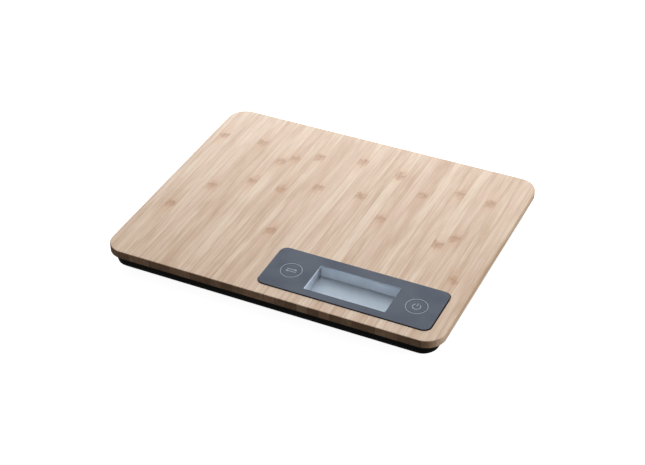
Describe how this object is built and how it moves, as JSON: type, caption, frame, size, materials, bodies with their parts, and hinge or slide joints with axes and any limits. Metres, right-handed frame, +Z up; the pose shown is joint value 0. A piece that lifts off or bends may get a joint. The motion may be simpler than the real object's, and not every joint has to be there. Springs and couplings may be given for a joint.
{
  "type": "kitchen scale",
  "caption": "Slim digital kitchen scale with a laminated bamboo weighing board, an inset panel with a display and press keys, and a shallow black base on sprung feet.",
  "frame": {"origin": "on the table, under the middle of the board: the centre of the bottom of the bounding box", "axes": "+Z up, +X to the user's right along the board's long side, -Y towards the user, where the control panel is"},
  "size_m": [0.23, 0.182, 0.0165],
  "materials": {
    "bamboo": "laminated bamboo strips, sanded and oiled, satin",
    "panel": "slate grey, smooth, semi-gloss",
    "key": "slate grey, smooth, semi-gloss, pale printed ring",
    "tape": "double-sided foam tape",
    "base_plastic": "black moulded plastic, fine texture",
    "foot_plastic": "black moulded plastic",
    "foot_rubber": "black anti-slip rubber",
    "spring_steel": "stamped spring steel",
    "gauge_coat": "pale silicone over the strain gauge",
    "screw_steel": "zinc-plated",
    "cell_steel": "stainless can",
    "contact_metal": "nickel-plated spring strip",
    "circuit_board": "green solder mask",
    "switch_black": "black epoxy",
    "lcd": "reflective display, pale blue-grey",
    "foam": "white foam",
    "silicone": "zebra strip",
    "light_plastic": "pale blue-grey moulded plastic",
    "label": "blank silver film",
    "wire_grey": "soft insulation",
    "wire_red": "soft insulation",
    "wire_black": "soft insulation"
  },
  "bodies": {
    "housing": {"bamboo_board": "bamboo", "control_panel": "panel", "panel_tape": "tape", "mode_switch": "switch_black", "tare_switch": "switch_black", "key_board": "circuit_board", "main_pcb": "circuit_board", "base_shell": "base_plastic", "coin_cell": "cell_steel", "contact_top": "contact_metal", "contact_side": "contact_metal", "lcd_glass": "lcd", "lcd_backing": "foam", "lcd_connector": "silicone", "lcd_frame": "light_plastic", "controller_blob": "switch_black", "amplifier_chip": "switch_black", "underside_label": "label", "board_screw_1": "screw_steel", "board_screw_2": "screw_steel", "board_screw_3": "screw_steel", "board_screw_4": "screw_steel", "board_screw_5": "screw_steel", "board_screw_6": "screw_steel", "pcb_screw_1": "screw_steel", "pcb_screw_2": "screw_steel", "load_cell_front_left": "spring_steel", "strain_gauge_front_left": "gauge_coat", "cell_screw_front_left_outer": "screw_steel", "cell_screw_front_left_inner": "screw_steel", "lead_front_left": "wire_grey", "load_cell_front_right": "spring_steel", "strain_gauge_front_right": "gauge_coat", "cell_screw_front_right_outer": "screw_steel", "cell_screw_front_right_inner": "screw_steel", "lead_front_right": "wire_grey", "load_cell_back_left": "spring_steel", "strain_gauge_back_left": "gauge_coat", "cell_screw_back_left_outer": "screw_steel", "cell_screw_back_left_inner": "screw_steel", "lead_back_left": "wire_grey", "load_cell_back_right": "spring_steel", "strain_gauge_back_right": "gauge_coat", "cell_screw_back_right_outer": "screw_steel", "cell_screw_back_right_inner": "screw_steel", "lead_back_right": "wire_grey", "key_board_lead": "wire_grey", "battery_lead_red": "wire_red", "battery_lead_black": "wire_black"},
    "battery_door": {"battery_door": "base_plastic"},
    "mode_key": {"mode_key": "key"},
    "tare_key": {"tare_key": "key"},
    "foot_front_left": {"foot_cup_front_left": "foot_plastic", "foot_pad_front_left": "foot_rubber"},
    "foot_front_right": {"foot_cup_front_right": "foot_plastic", "foot_pad_front_right": "foot_rubber"},
    "foot_back_left": {"foot_cup_back_left": "foot_plastic", "foot_pad_back_left": "foot_rubber"},
    "foot_back_right": {"foot_cup_back_right": "foot_plastic", "foot_pad_back_right": "foot_rubber"}
  },
  "joints": [
    {"name": "foot_front_left_press", "type": "slide", "parent": "housing", "child": "foot_front_left", "axis": [0, 0, 1], "range_m": [0, 0.0003], "stiffness_N_per_m": 5000},
    {"name": "foot_front_right_press", "type": "slide", "parent": "housing", "child": "foot_front_right", "axis": [0, 0, 1], "range_m": [0, 0.0003], "stiffness_N_per_m": 5000},
    {"name": "foot_back_left_press", "type": "slide", "parent": "housing", "child": "foot_back_left", "axis": [0, 0, 1], "range_m": [0, 0.0003], "stiffness_N_per_m": 5000},
    {"name": "foot_back_right_press", "type": "slide", "parent": "housing", "child": "foot_back_right", "axis": [0, 0, 1], "range_m": [0, 0.0003], "stiffness_N_per_m": 5000},
    {"name": "mode_key_press", "type": "slide", "parent": "housing", "child": "mode_key", "axis": [0, 0, -1], "range_m": [0, 0.0003], "stiffness_N_per_m": 6000},
    {"name": "tare_key_press", "type": "slide", "parent": "housing", "child": "tare_key", "axis": [0, 0, -1], "range_m": [0, 0.0003], "stiffness_N_per_m": 6000},
    {"name": "battery_door_hinge", "type": "hinge", "parent": "housing", "child": "battery_door", "pos_m": [-0.03, 0.0352, 0.0022], "axis": [1, 0, 0], "range_deg": [0, 90]}
  ]
}
